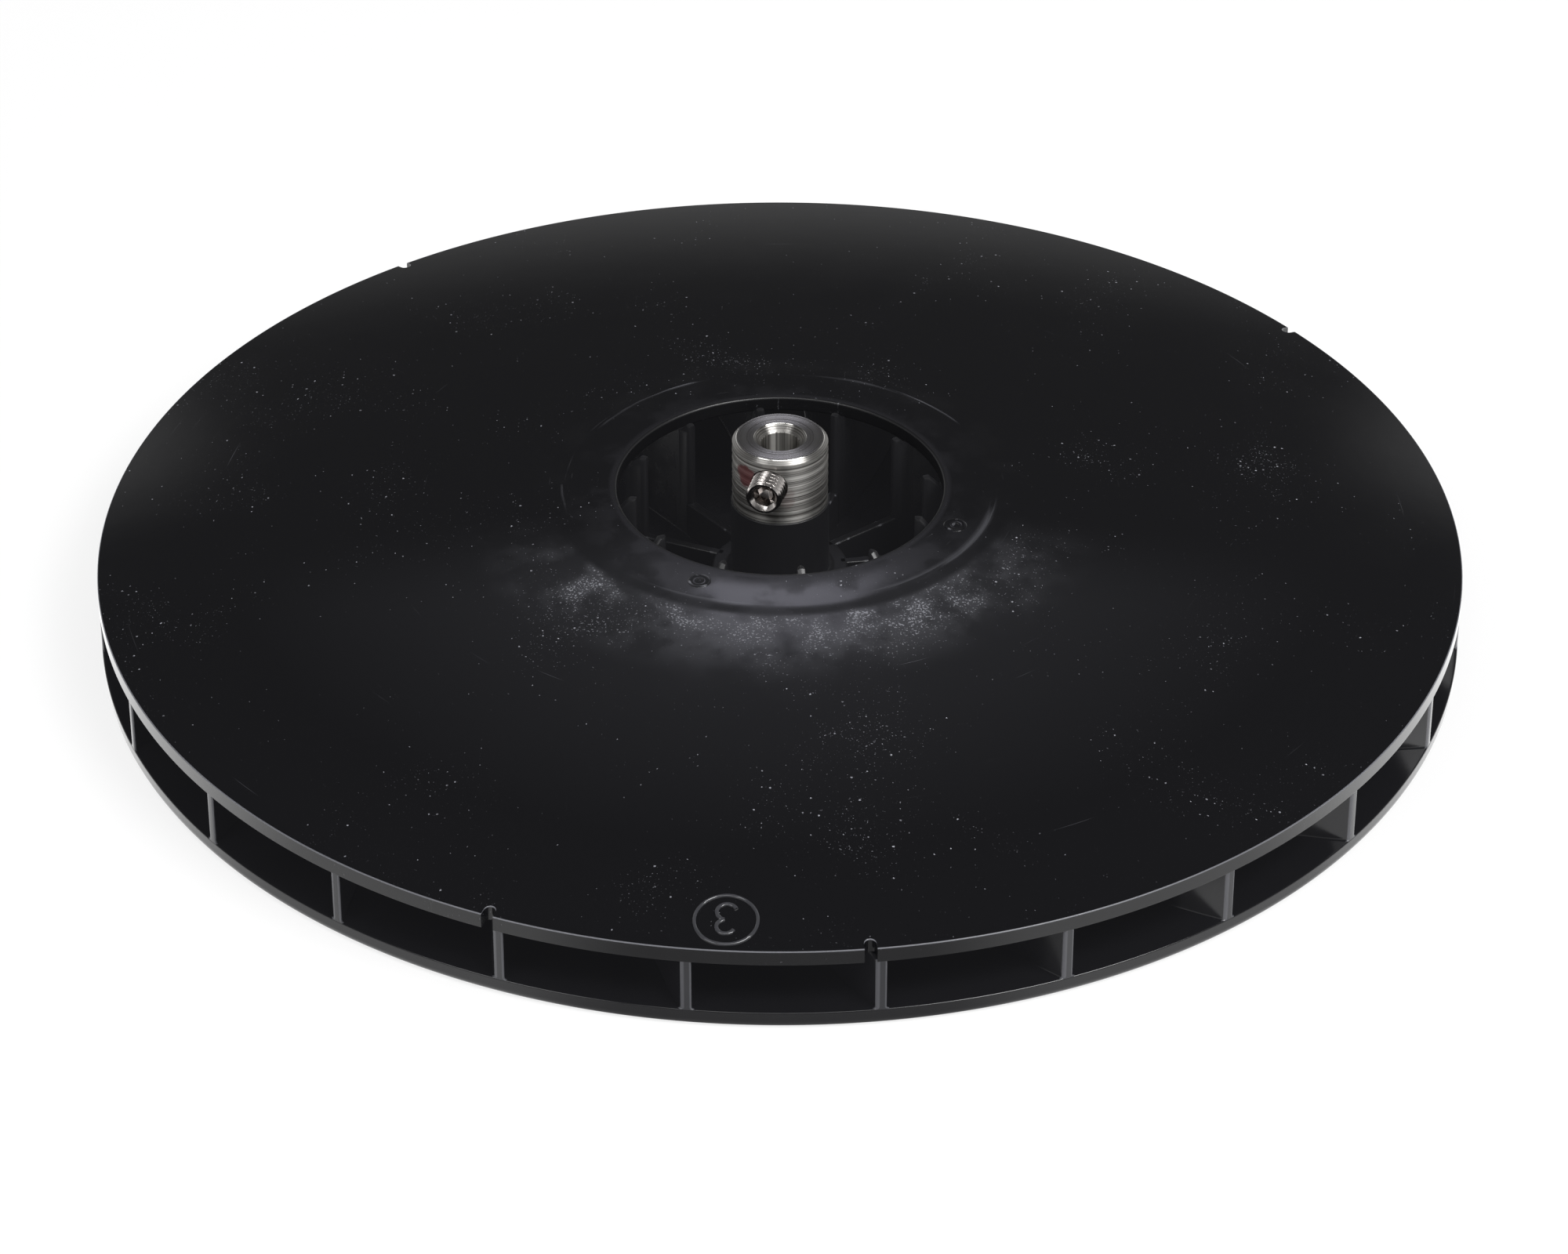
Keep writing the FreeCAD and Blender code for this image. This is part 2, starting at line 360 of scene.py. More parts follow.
# ABS from a polished mould is black all through and glossy, with a faint orange peel. Pale dust lies in
# the lee of the shroud's land, with loose specks and rubbed arcs further out, and the land's corner is worn
# grey. Rounded edges of blades, ribs and rim, and the raised marks, are painted paler: painted highlights.
# The dust veil over the front of the dome is partly a painted highlight too.
# A trace of glow stands for the stray light that lies over black plastic in any bright room.
dust_and_highlight_colour = "#A5A6AE"
stray_colour = "#F4F4FF"
bank_rise = (37.8, 39.4)
bank_fade = (39, 57)
bank_ahead = (-8, -34)
drift_size = 7
patch_size = 24
grain_size = 0.34
speck_pitch = 1.25
speck_ragged = 0.28
speck_wander = 0.36
radian_length = 1.6
arc_width = 0.40
rub_size = 1.7
rub_breaks_to = 50
veil_and_highlight_fade = (38, 92)
cloud_size = 12
wisp_size = 6
wisp_fade = (38, 43)
eye_fade = (27.2, 29)
peel_size = 5
peel_depth = 0.007
grain_cover = 0.37
speck_cover = 0.8
arc_cover = 0.10
# The veil and its thickening on the bank are dust, and in part a painted highlight.
bank_veil_and_highlight_cover = 0.10
veil_and_highlight_cover = 0.022
eye_roughness = 0.38
dusty_roughness = 0.65


def moulded_plastic(name, black, gloss, dust_and_highlight, stray):
    """Black plastic: gloss is its roughness, then the share of dust and painted highlight veil, stray the
    glow's strength.
    """
    material = bpy.data.materials.new(name)
    material.use_nodes = True
    tree = material.node_tree
    shader = tree.nodes["Principled BSDF"]
    place = add_node(tree, "ShaderNodeTexCoord").outputs["Object"]
    split = add_node(tree, "ShaderNodeSeparateXYZ", {"Vector": place})
    front = split.outputs["Y"]
    flat = add_node(tree, "ShaderNodeCombineXYZ", {"X": split.outputs["X"], "Y": front})
    radius = add_node(tree, "ShaderNodeVectorMath", {0: flat}, operation="LENGTH")
    angle = add_node(tree, "ShaderNodeMath", {0: front, 1: split.outputs["X"]}, operation="ARCTAN2")
    angle = add_node(tree, "ShaderNodeMath", {0: angle, 1: radian_length * MM}, operation="MULTIPLY")
    polar = add_node(tree, "ShaderNodeCombineXYZ", {"X": radius, "Y": angle})

    # Dust has banked up in front of the land's step, thick close to it, and breaks up into grains.
    drift = add_node(tree, "ShaderNodeTexNoise", {
        "Vector": place, "Scale": 1 / (drift_size * MM), "Detail": 6.0})
    drift = add_node(tree, "ShaderNodeMapRange", {
        "Value": drift, "From Min": 0.36, "From Max": 0.64, "To Min": 0.15}, interpolation_type="SMOOTHSTEP")
    lee = add_node(tree, "ShaderNodeMapRange", {
        "Value": radius, "From Min": bank_rise[0] * MM, "From Max": bank_rise[1] * MM},
        interpolation_type="SMOOTHSTEP")
    fade = add_node(tree, "ShaderNodeMapRange", {
        "Value": radius, "From Min": bank_fade[0] * MM, "From Max": bank_fade[1] * MM,
        "To Min": 1.0, "To Max": 0.0}, interpolation_type="SMOOTHSTEP")
    ahead = add_node(tree, "ShaderNodeMapRange", {
        "Value": front, "From Min": bank_ahead[0] * MM, "From Max": bank_ahead[1] * MM},
        interpolation_type="SMOOTHSTEP")
    lee = add_node(tree, "ShaderNodeMath", {0: lee, 1: fade}, operation="MULTIPLY")
    lee = add_node(tree, "ShaderNodeMath", {0: lee, 1: ahead}, operation="MULTIPLY")
    bank = add_node(tree, "ShaderNodeMath", {0: lee, 1: drift}, operation="MULTIPLY")
    patch = add_node(tree, "ShaderNodeTexNoise", {
        "Vector": place, "Scale": 1 / (patch_size * MM), "Detail": 3.0})
    patch = add_node(tree, "ShaderNodeMath", {0: patch, 1: 0.45, 2: -0.225}, operation="MULTIPLY_ADD")
    grain = add_node(tree, "ShaderNodeTexNoise", {
        "Vector": place, "Scale": 1 / (grain_size * MM), "Detail": 2.0})
    grain = add_node(tree, "ShaderNodeMath", {0: grain, 1: patch}, operation="ADD")
    grain = add_node(tree, "ShaderNodeMath", {0: bank, 1: 0.235, 2: grain}, operation="MULTIPLY_ADD")
    grain = add_node(tree, "ShaderNodeMapRange", {
        "Value": grain, "From Min": 0.735, "From Max": 0.85}, interpolation_type="SMOOTHSTEP")
    grain = add_node(tree, "ShaderNodeMath", {0: grain, 1: grain_cover * dust_and_highlight}, operation="MULTIPLY")

    # A speck's radius is a high power of its cell's chance, so that most cells stay bare.
    wander = add_node(tree, "ShaderNodeTexNoise", {"Vector": place, "Scale": 1 / (speck_ragged * MM)})
    wander = add_node(tree, "ShaderNodeVectorMath", {
        0: wander.outputs["Color"], 1: (speck_wander * MM, speck_wander * MM, 0.0), 2: flat},
        operation="MULTIPLY_ADD")
    cell = add_node(tree, "ShaderNodeTexVoronoi", {"Vector": wander, "Scale": 1 / (speck_pitch * MM)},
                    voronoi_dimensions="2D")
    chance = add_node(tree, "ShaderNodeSeparateColor", {"Color": cell.outputs["Color"]})
    size = add_node(tree, "ShaderNodeMath", {0: chance.outputs["Red"], 1: patch}, operation="ADD")
    size = add_node(tree, "ShaderNodeMath", {0: size, 1: 13.0}, operation="POWER")
    size = add_node(tree, "ShaderNodeMath", {0: size, 1: 1.5}, operation="MINIMUM")
    speck = add_node(tree, "ShaderNodeMath", {0: size, 1: 0.10}, operation="MULTIPLY")
    speck = add_node(tree, "ShaderNodeMath", {0: speck, 1: cell.outputs["Distance"]}, operation="SUBTRACT")
    speck = add_node(tree, "ShaderNodeMapRange", {
        "Value": speck, "From Min": 0.0, "From Max": 0.045, "To Max": speck_cover * dust_and_highlight},
        interpolation_type="SMOOTHSTEP")
    speck = add_node(tree, "ShaderNodeMath", {0: speck, 1: chance.outputs["Green"]}, operation="MULTIPLY")

    # Rubbing draws streaks round the axis: a radian counts as little length, so each one runs on.
    # Near the eye it breaks up the paled corners, and further out they are paled all along. The land's corner
    # is worn; the paling on rounded edges, raised lips and beads is a painted highlight.
    arc = add_node(tree, "ShaderNodeTexNoise", {
        "Vector": polar, "Scale": 1 / (arc_width * MM), "Detail": 1.0})
    arc = add_node(tree, "ShaderNodeMapRange", {
        "Value": arc, "From Min": 0.76, "From Max": 0.86, "To Max": arc_cover * dust_and_highlight},
        interpolation_type="SMOOTHSTEP")
    rub_and_highlight = add_node(tree, "ShaderNodeTexNoise", {"Vector": polar, "Scale": 1 / (rub_size * MM), "Detail": 5.0})
    rub_and_highlight = add_node(tree, "ShaderNodeMapRange", {
        "Value": rub_and_highlight, "From Min": 0.52, "From Max": 0.66}, interpolation_type="SMOOTHSTEP")
    wear_and_highlight = add_node(tree, "ShaderNodeAttribute", attribute_name="wear_and_highlight").outputs["Fac"]
    whole = add_node(tree, "ShaderNodeMath", {0: radius, 1: rub_breaks_to * MM}, operation="GREATER_THAN")
    rub_and_highlight = add_node(tree, "ShaderNodeMath", {0: rub_and_highlight, 1: whole}, operation="MAXIMUM")
    rub_and_highlight = add_node(tree, "ShaderNodeMath", {0: rub_and_highlight, 1: wear_and_highlight}, operation="MULTIPLY")

    # A thin veil lies over the front of the dome and thickens on the dust bank: dust, and in part a painted
    # highlight on the crest and the front slope. The thickest of all the covers shows, and the veil adds to
    # it.
    veil_and_highlight = add_node(tree, "ShaderNodeMapRange", {
        "Value": radius, "From Min": veil_and_highlight_fade[0] * MM, "From Max": veil_and_highlight_fade[1] * MM,
        "To Min": veil_and_highlight_cover * dust_and_highlight, "To Max": 0.0})
    veil_and_highlight = add_node(tree, "ShaderNodeMath", {0: veil_and_highlight, 1: ahead}, operation="MULTIPLY")
    veil_and_highlight = add_node(tree, "ShaderNodeMath", {
        0: bank, 1: bank_veil_and_highlight_cover * dust_and_highlight, 2: veil_and_highlight}, operation="MULTIPLY_ADD")
    cover_and_highlight = grain
    for other in (speck, arc, rub_and_highlight):
        cover_and_highlight = add_node(tree, "ShaderNodeMath", {0: cover_and_highlight, 1: other}, operation="MAXIMUM")
    cover_and_highlight = add_node(tree, "ShaderNodeMath", {0: cover_and_highlight, 1: veil_and_highlight}, operation="ADD")
    colour = add_node(tree, "ShaderNodeMix", {
        "Factor": cover_and_highlight, 6: hex_colour(black), 7: hex_colour(dust_and_highlight_colour)}, data_type="RGBA")

    # The gloss is faintly cloudy, the handled land is dulled in wisps, and all inside the eye is duller.
    dull = add_node(tree, "ShaderNodeTexNoise", {
        "Vector": place, "Scale": 1 / (cloud_size * MM), "Detail": 5.0})
    dull = add_node(tree, "ShaderNodeMapRange", {
        "Value": dull, "From Min": 0.30, "From Max": 0.70, "To Min": gloss * 0.95, "To Max": gloss * 1.4},
        interpolation_type="SMOOTHSTEP")
    wisp = add_node(tree, "ShaderNodeTexNoise", {
        "Vector": place, "Scale": 1 / (wisp_size * MM), "Detail": 6.0})
    wisp = add_node(tree, "ShaderNodeMapRange", {
        "Value": wisp, "From Min": 0.42, "From Max": 0.62, "To Max": gloss}, interpolation_type="SMOOTHSTEP")
    handled = add_node(tree, "ShaderNodeMapRange", {
        "Value": radius, "From Min": wisp_fade[0] * MM, "From Max": wisp_fade[1] * MM,
        "To Min": 1.0, "To Max": 0.0})
    dull = add_node(tree, "ShaderNodeMath", {0: wisp, 1: handled, 2: dull}, operation="MULTIPLY_ADD")
    inside = add_node(tree, "ShaderNodeMapRange", {
        "Value": radius, "From Min": eye_fade[0] * MM, "From Max": eye_fade[1] * MM,
        "To Min": eye_roughness, "To Max": 0.0})
    dull = add_node(tree, "ShaderNodeMath", {0: dull, 1: inside}, operation="MAXIMUM")
    rough = add_node(tree, "ShaderNodeMix", {"Factor": cover_and_highlight, 2: dull, 3: dusty_roughness})
    peel = add_node(tree, "ShaderNodeTexNoise", {"Vector": place, "Scale": 1 / (peel_size * MM)})
    bump = add_node(tree, "ShaderNodeBump", {"Height": peel, "Strength": 1.0, "Distance": peel_depth * MM})
    tree.links.new(colour.outputs[2], shader.inputs["Base Color"])
    tree.links.new(rough.outputs[0], shader.inputs["Roughness"])
    tree.links.new(bump.outputs["Normal"], shader.inputs["Normal"])
    shader.inputs["IOR"].default_value = 1.52
    shader.inputs["Emission Color"].default_value = hex_colour(stray_colour)
    shader.inputs["Emission Strength"].default_value = stray
    return material


wheel_plastic = moulded_plastic("moulded_black_abs", "#0E0E10", gloss=0.14, dust_and_highlight=0.0, stray=0.0070)
patches = [(revolved(plate_profile, full_turn), True, 0.0)]
straight_run = -arc_centre[1] - long_root_radius
short_blade, short_painted_highlight = blade_grid(short_blade_start, 0.0)
long_blade, long_painted_highlight = blade_grid(0.0, straight_run)
rib, rib_painted_highlight = rib_grid()
for pair in range(blade_pairs):
    angle = first_tip_angle + 2 * pair * tip_pitch - blade_sweep
    patches.append((turned(short_blade, angle), False, short_painted_highlight))
    patches.append((turned(long_blade, angle + tip_pitch), False, long_painted_highlight))
    patches.append((turned(rib, angle + tip_pitch), False, rib_painted_highlight))
back_plate = make_piece("back_plate_moulding", patches, wheel_plastic)
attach(back_plate, "root")
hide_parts("bladed_back_plate")

# The top shroud is the second moulding: a ring with a rounded eye, a land, a shallow dome and a square rim.
# Four keying notches in the rim set it on the blades before the two are welded. Two ejector pins have left
# dished marks in the land, and a raised ring near the rim holds a plain cavity number.
eye_edge_round = 0.45
rim_edge_round = 0.2
notch_width = 1.96
notch_depth = 1.9
notch_reach = 4.0
notch_tips = (0, 8, 14, 22)
notch_beside = np.array([0.4, 0.02, 0.004])
notch_clear = 1.6
pull_margin = 0.4
tip_radial = (wheel_radius * tip_outward - arc_centre) / blade_arc_radius
tip_lean = math.acos(float(np.cross(tip_radial, tip_outward)))
notch_offset = blade_thickness / 2 / math.cos(tip_lean) + notch_width / 2
pin_marks = ((31.8, -24.0), (31.2, 66.5))
pin_lip_painted_highlight = 0.34
rim_edge_painted_highlight = 0.30
corner_worn = 0.12
corner_more = 0.45
corner_width = 0.5
corner_worn_most = ((215, 0.7, 1.0), (140, 0.3, 0.5))


def shroud_grid():
    """The shroud's profile turned round the axis, with its rim pulled in at each notch.

    The pull is full at the rim and fades to nothing over a few millimetres, and a point that moves in
    also climbs the dome. Across a notch the pull follows a half circle, and at its sides it drops at once.
    The land's outer corner is worn palest round two places: a bell curve of the angle off each of them.
    """
    land = np.arange(eye_radius + eye_edge_round + 0.15, land_radius - 0.1, 0.5)
    step = np.linspace(land_radius, step_radius, 15)
    dome = np.linspace(step_radius + 0.8, wheel_radius - notch_reach, 30)
    near_rim = np.linspace(wheel_radius - notch_reach, wheel_radius - rim_edge_round - 0.06, 8)[1:]
    outer = np.concatenate([land, step, dome, near_rim])
    inner = np.concatenate([step[::5], dome[::3], near_rim])[::-1]
    eye = rounded([
        (land_radius, land_height - shroud_wall, 0.05),
        (eye_radius, land_height - shroud_wall, 0.3),
        (eye_radius, land_height, eye_edge_round),
        (land_radius, land_height, 0.05),
    ])
    eye = eye[eye[:, 0] < land_radius - 1.0]
    edge = rounded([
        (land_radius, rim_height, 0.05),
        (wheel_radius, rim_height, rim_edge_round),
        (wheel_radius, rim_height - shroud_wall, 0.12),
        (land_radius, rim_height - shroud_wall, 0.05),
    ])
    edge = edge[edge[:, 0] > wheel_radius - 0.5]
    profile = np.concatenate([
        eye,
        np.stack([outer, shroud_height(outer)], 1),
        edge,
        np.stack([inner, shroud_height(inner) - shroud_wall], 1),
    ])[::-1]
    half = notch_width / 2
    centres = first_tip_angle + np.array(notch_tips) * tip_pitch - notch_offset / wheel_radius
    across = half * np.sin(np.linspace(-math.pi / 2, math.pi / 2, 17))
    beside = notch_beside + half
    across = np.concatenate([-beside, across, beside[::-1]])
    near = (centres[:, None] + across / wheel_radius).ravel() % (2 * math.pi)
    gap = np.abs((full_turn[:, None] - centres + math.pi) % (2 * math.pi) - math.pi).min(1)
    angles = np.sort(np.concatenate([full_turn[gap > notch_clear / wheel_radius], near]))
    offset = (angles[:, None] - centres + math.pi) % (2 * math.pi) - math.pi
    offset = np.take_along_axis(offset, np.abs(offset).argmin(1)[:, None], 1)[:, 0] * wheel_radius
    inside = np.abs(offset) <= half + 0.001
    pull = np.where(inside, notch_depth - half + np.sqrt(np.maximum(half ** 2 - offset ** 2, 0)), 0)
    share = np.clip((profile[:, 0] - wheel_radius + notch_reach) / (notch_reach - pull_margin), 0, 1)
    radius = profile[None, :, 0] - share * pull[:, None]
    lift = shroud_height(radius) - shroud_height(np.broadcast_to(profile[None, :, 0], radius.shape))
    height = profile[None, :, 1] + np.where(share > 0, lift, 0)
    turn = angles[:, None]
    x, y = radius * np.sin(turn), -radius * np.cos(turn)
    within = rim_edge_round - 0.01
    rim_round = (profile[:, 0] > wheel_radius - within) & (profile[:, 1] > rim_height - within)
    corner = np.exp(-((profile[:, 0] - land_radius) / corner_width) ** 2) * (profile[:, 1] > rim_height)
    corner = np.where(profile[:, 1] > shroud_height(profile[:, 0]) - 0.05, corner, 0)
    most = sum(share * np.exp(-((angles - math.radians(middle)) / spread) ** 2)
               for middle, spread, share in corner_worn_most)
    # The rim's rounded top edge is painted paler, a painted highlight line; the land's outer corner is worn.
    wear_and_highlight = rim_edge_painted_highlight * rim_round + corner * (corner_worn + corner_more * most[:, None])
    return np.stack([x, y, height], 2), wear_and_highlight


def pin_mark(mark_radius, mark_angle):
    """A mark on the land, in rings of points from its foot over a raised lip and a flat floor to a pimple."""
    rings = np.array([(2.0, -0.1), (1.9, 0.02), (1.72, 0.11), (1.55, 0.12), (1.38, 0.04), (0.8, 0.03),
                      (0.62, 0.05), (0.45, 0.14), (0.25, 0.17), (0.04, 0.18)])
    around = np.arange(40) / 40 * 2 * math.pi
    x = mark_radius * math.sin(mark_angle) + rings[:, :1] * np.cos(around)
    y = -mark_radius * math.cos(mark_angle) + rings[:, :1] * np.sin(around)
    height = shroud_height(np.hypot(x, y)) + rings[:, 1:]
    # The raised lip and the pimple are painted paler: a painted highlight.
    return np.stack([x, y, height], 2), pin_lip_painted_highlight * (rings[:, 1:] > 0.1)


number_radius = 107.0
number_angle = math.radians(-4.3)
number_ring = 4.8
number_upper = 1.35
number_lower = 1.55
number_width = 0.7
ring_width = 0.6
bead_rise = 0.3
bead_top_painted_highlight = 0.09


def raised_line(u, v, width, closed=False):
    """A raised bead along (u, v) on the dome, in section an ellipse of its width and twice its rise.

    u runs clockwise and v inwards from the number's middle, so that it reads from the eye's side.
    """
    line = np.stack([u, v], 1)
    ahead = np.roll(line, -1, 0) - np.roll(line, 1, 0) if closed else np.gradient(line, axis=0)
    ahead /= np.linalg.norm(ahead, axis=1)[:, None]
    turn = np.arange(10) / 10 * 2 * math.pi
    side = width / 2 * np.cos(turn)
    across = u[:, None] + ahead[:, 1:] * side
    inward = v[:, None] - ahead[:, :1] * side
    radius = number_radius - inward
    angle = number_angle + across / number_radius
    height = shroud_height(radius) + bead_rise * np.sin(turn)
    points = np.stack([radius * np.sin(angle), -radius * np.cos(angle), height], 2)
    # The top of each bead is painted paler: a painted highlight line.
    return points[:, ::-1], bead_top_painted_highlight * (np.sin(turn) > 0.5)[::-1]


round_ring = np.arange(72) / 72 * 2 * math.pi
ring_u, ring_v = number_ring * np.cos(round_ring), number_ring * np.sin(round_ring)
ring_line, line_painted_highlight = raised_line(ring_u, ring_v, ring_width, closed=True)
shroud_points, shroud_wear_and_highlight = shroud_grid()
patches = [(shroud_points, True, shroud_wear_and_highlight), (ring_line, True, line_painted_highlight)]
upper_bow = np.radians(np.linspace(155, -80, 26))
lower_bow = np.radians(np.linspace(80, -155, 28))
for bow, size, way in ((upper_bow, number_upper, -1), (lower_bow, number_lower, 1)):
    bow_points, line_painted_highlight = raised_line(-size * np.cos(bow), size * (way - np.sin(bow)), number_width)
    patches.append((bow_points, False, line_painted_highlight))
for mark_radius, mark_angle in pin_marks:
    mark_points, mark_painted_highlight = pin_mark(mark_radius, math.radians(mark_angle))
    patches.append((mark_points, False, mark_painted_highlight))

shroud_plastic = moulded_plastic("moulded_black_abs_dust_and_highlight", "#0F0F11", gloss=0.09, dust_and_highlight=1.0, stray=0.0016)
top_shroud = make_piece("top_shroud_moulding", patches, shroud_plastic)
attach(top_shroud, "root")
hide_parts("top_shroud")

# The bushing is turned from free-cutting steel: fine tool rings on its side and top, a bright chamfer
# round the rim and a countersunk bore. One tapped hole in its wall takes the set screw.
bushing_top = 34.7
bore_radius = 3.175
bore_chamfer = 1.2
rim_chamfer = 0.75
back_chamfer = 0.4
ring_pitch = 1.53
ring_depth = 0.07
ring_first = 23.2
ring_count = 7
bushing_radius = 7.94
screw_angle = math.radians(-14.0)
screw_height = 29.7
tapped_radius = 3.08
tap_steps = 64
smears = ((-3.8, 0.8, 2.1, 0.9), (3.0, -1.0, 1.2, 0.25), (3.0, -3.0, 1.2, 0.25))

# Turned steel keeps the tool's feed marks, a spiral of rings too fine to see here, drawn coarser as uneven
# bands. They spread each highlight across the rings. A red thread lock has run out round the screw.
lock_red = "#57151A"
lock_metal = 0.25
lock_ragged = 2.2
lock_wander = 1.8
feed_band = 0.30
bore_streak = 0.45
mark_depth = 0.02
mark_margin = 0.1
# Painted light: the top face's tone is raised by this share, so it shows paler than the sides.
top_painted_light = 0.5
top_smoother = 0.18


def turned_metal(name, dull, bright, roughness):
    """Steel with rings by height on its sides and by radius on its ends, and red round the screw."""
    material = bpy.data.materials.new(name)
    material.use_nodes = True
    tree = material.node_tree
    shader = tree.nodes["Principled BSDF"]
    place = add_node(tree, "ShaderNodeTexCoord").outputs["Object"]
    split = add_node(tree, "ShaderNodeSeparateXYZ", {"Vector": place})
    height = split.outputs["Z"]
    flat = add_node(tree, "ShaderNodeCombineXYZ", {"X": split.outputs["X"], "Y": split.outputs["Y"]})
    radius = add_node(tree, "ShaderNodeVectorMath", {0: flat}, operation="LENGTH")
    along = add_node(tree, "ShaderNodeCombineXYZ", {"X": radius, "Y": height})
    rings = add_node(tree, "ShaderNodeTexNoise", {
        "Vector": along, "Scale": 1 / (feed_band * MM), "Detail": 2.0})
    streaks = add_node(tree, "ShaderNodeTexNoise", {
        "Vector": flat, "Scale": 1 / (bore_streak * MM), "Detail": 2.0})
    in_bore = add_node(tree, "ShaderNodeMath", {
        0: radius, 1: (bore_radius + mark_margin) * MM}, operation="LESS_THAN")
    marks = add_node(tree, "ShaderNodeMix", {"Factor": in_bore, 2: rings, 3: streaks})
    tone_and_top_light = add_node(tree, "ShaderNodeMapRange", {
        "Value": marks, "From Min": 0.32, "From Max": 0.68}, interpolation_type="SMOOTHSTEP")
    on_top = add_node(tree, "ShaderNodeMath", {
        0: height, 1: (bushing_top - mark_margin) * MM}, operation="GREATER_THAN")
    # Painted light: the top face is painted paler than the sides.
    tone_and_top_light = add_node(tree, "ShaderNodeMath", {0: on_top, 1: top_painted_light, 2: tone_and_top_light}, operation="MULTIPLY_ADD")
    steel = add_node(tree, "ShaderNodeMix", {
        "Factor": tone_and_top_light, 6: hex_colour(dull), 7: hex_colour(bright)}, data_type="RGBA")
    rough = add_node(tree, "ShaderNodeMapRange", {
        "Value": marks, "From Min": 0.3, "From Max": 0.7,
        "To Min": roughness * 1.15, "To Max": roughness * 0.9})
    rough = add_node(tree, "ShaderNodeMath", {
        0: on_top, 1: -top_smoother, 2: rough}, operation="MULTIPLY_ADD")
    bump = add_node(tree, "ShaderNodeBump", {"Height": marks, "Strength": 1.0, "Distance": mark_depth * MM})
    round_axis = add_node(tree, "ShaderNodeTangent", direction_type="RADIAL", axis="Z")
    tree.links.new(round_axis.outputs[0], shader.inputs["Tangent"])
    shader.inputs["Anisotropic"].default_value = 0.85
    shader.inputs["Anisotropic Rotation"].default_value = 0.25
    aside = (math.cos(screw_angle), math.sin(screw_angle), 0.0)
    ahead = (math.sin(screw_angle), -math.cos(screw_angle), 0.0)
    side = add_node(tree, "ShaderNodeVectorMath", {0: place, 1: aside}, operation="DOT_PRODUCT")
    out = add_node(tree, "ShaderNodeVectorMath", {0: place, 1: ahead}, operation="DOT_PRODUCT")
    out = add_node(tree, "ShaderNodeMath", {0: out, 1: 2 * MM}, operation="GREATER_THAN")
    spot = add_node(tree, "ShaderNodeCombineXYZ", {"X": side, "Y": height})
    ragged = add_node(tree, "ShaderNodeTexNoise", {
        "Vector": place, "Scale": 1 / (lock_ragged * MM), "Detail": 3.0})
    spread = 0.0
    for across, rise, size, depth in smears:
        middle = (across * MM, (screw_height + rise) * MM, 0.0)
        reach = add_node(tree, "ShaderNodeVectorMath", {0: spot, 1: middle}, operation="DISTANCE")
        reach = add_node(tree, "ShaderNodeMath", {
            0: ragged, 1: lock_wander * MM, 2: reach}, operation="MULTIPLY_ADD")
        smear = add_node(tree, "ShaderNodeMapRange", {
            "Value": reach, "From Min": (size + 1.1) * MM, "From Max": (size + 0.6) * MM, "To Max": depth},
            interpolation_type="SMOOTHSTEP")
        spread = add_node(tree, "ShaderNodeMath", {0: smear, 1: spread}, operation="MAXIMUM")
    spread = add_node(tree, "ShaderNodeMath", {0: spread, 1: out}, operation="MULTIPLY")
    metal = add_node(tree, "ShaderNodeMapRange", {"Value": spread, "To Min": 1.0, "To Max": lock_metal})
    steel = add_node(tree, "ShaderNodeMix", {
        "Factor": spread, 6: steel.outputs[2], 7: hex_colour(lock_red)}, data_type="RGBA")
    tree.links.new(metal.outputs[0], shader.inputs["Metallic"])
    tree.links.new(steel.outputs[2], shader.inputs["Base Color"])
    tree.links.new(rough.outputs[0], shader.inputs["Roughness"])
    tree.links.new(bump.outputs["Normal"], shader.inputs["Normal"])
    return material


turned_steel = turned_metal("turned_steel", "#625F5C", "#D6D4D0", roughness=0.40)
ring_z = ring_first + np.arange(ring_count * 8 + 1) / 8 * ring_pitch
ring_r = bushing_radius - ring_depth * (0.5 - 0.5 * np.cos((ring_z - ring_first) / ring_pitch * 2 * math.pi))
bushing_profile = np.concatenate([
    rounded([
        (bushing_radius, boss_height + 2, 0.05),
        (bushing_radius, boss_height, 0.1),
        (shank_radius, boss_height, 0.05),
        (shank_radius, bushing_bottom, back_chamfer / 2),
        (bore_radius, bushing_bottom, back_chamfer / 2),
        (bore_radius, 10.0, 0.05),
    ], 3, 0.02)[6:-6],
    [(bore_radius, z) for z in np.linspace(3, 33, 13)],
    rounded([
        (bore_radius, 20.0, 0.05),
        (bore_radius, bushing_top - bore_chamfer, 0.08),
        (bore_radius + bore_chamfer, bushing_top, 0.06),
        (bushing_radius - rim_chamfer, bushing_top, 0.06),
        (bushing_radius, bushing_top - rim_chamfer, 0.06),
        (bushing_radius, 20.0, 0.05),
    ], 3, 0.02)[6:-6],
    np.stack([ring_r, ring_z], 1)[::-1][1:],
])


def across_screw(along, radius, turn):
    """Points round the screw's axis: a distance off the wheel's axis, a radius and a turn."""
    side, up = radius * np.cos(turn), radius * np.sin(turn)
    cos, sin = math.cos(screw_angle), math.sin(screw_angle)
    return np.stack([along * sin + side * cos, -along * cos + side * sin, screw_height + up], 2)


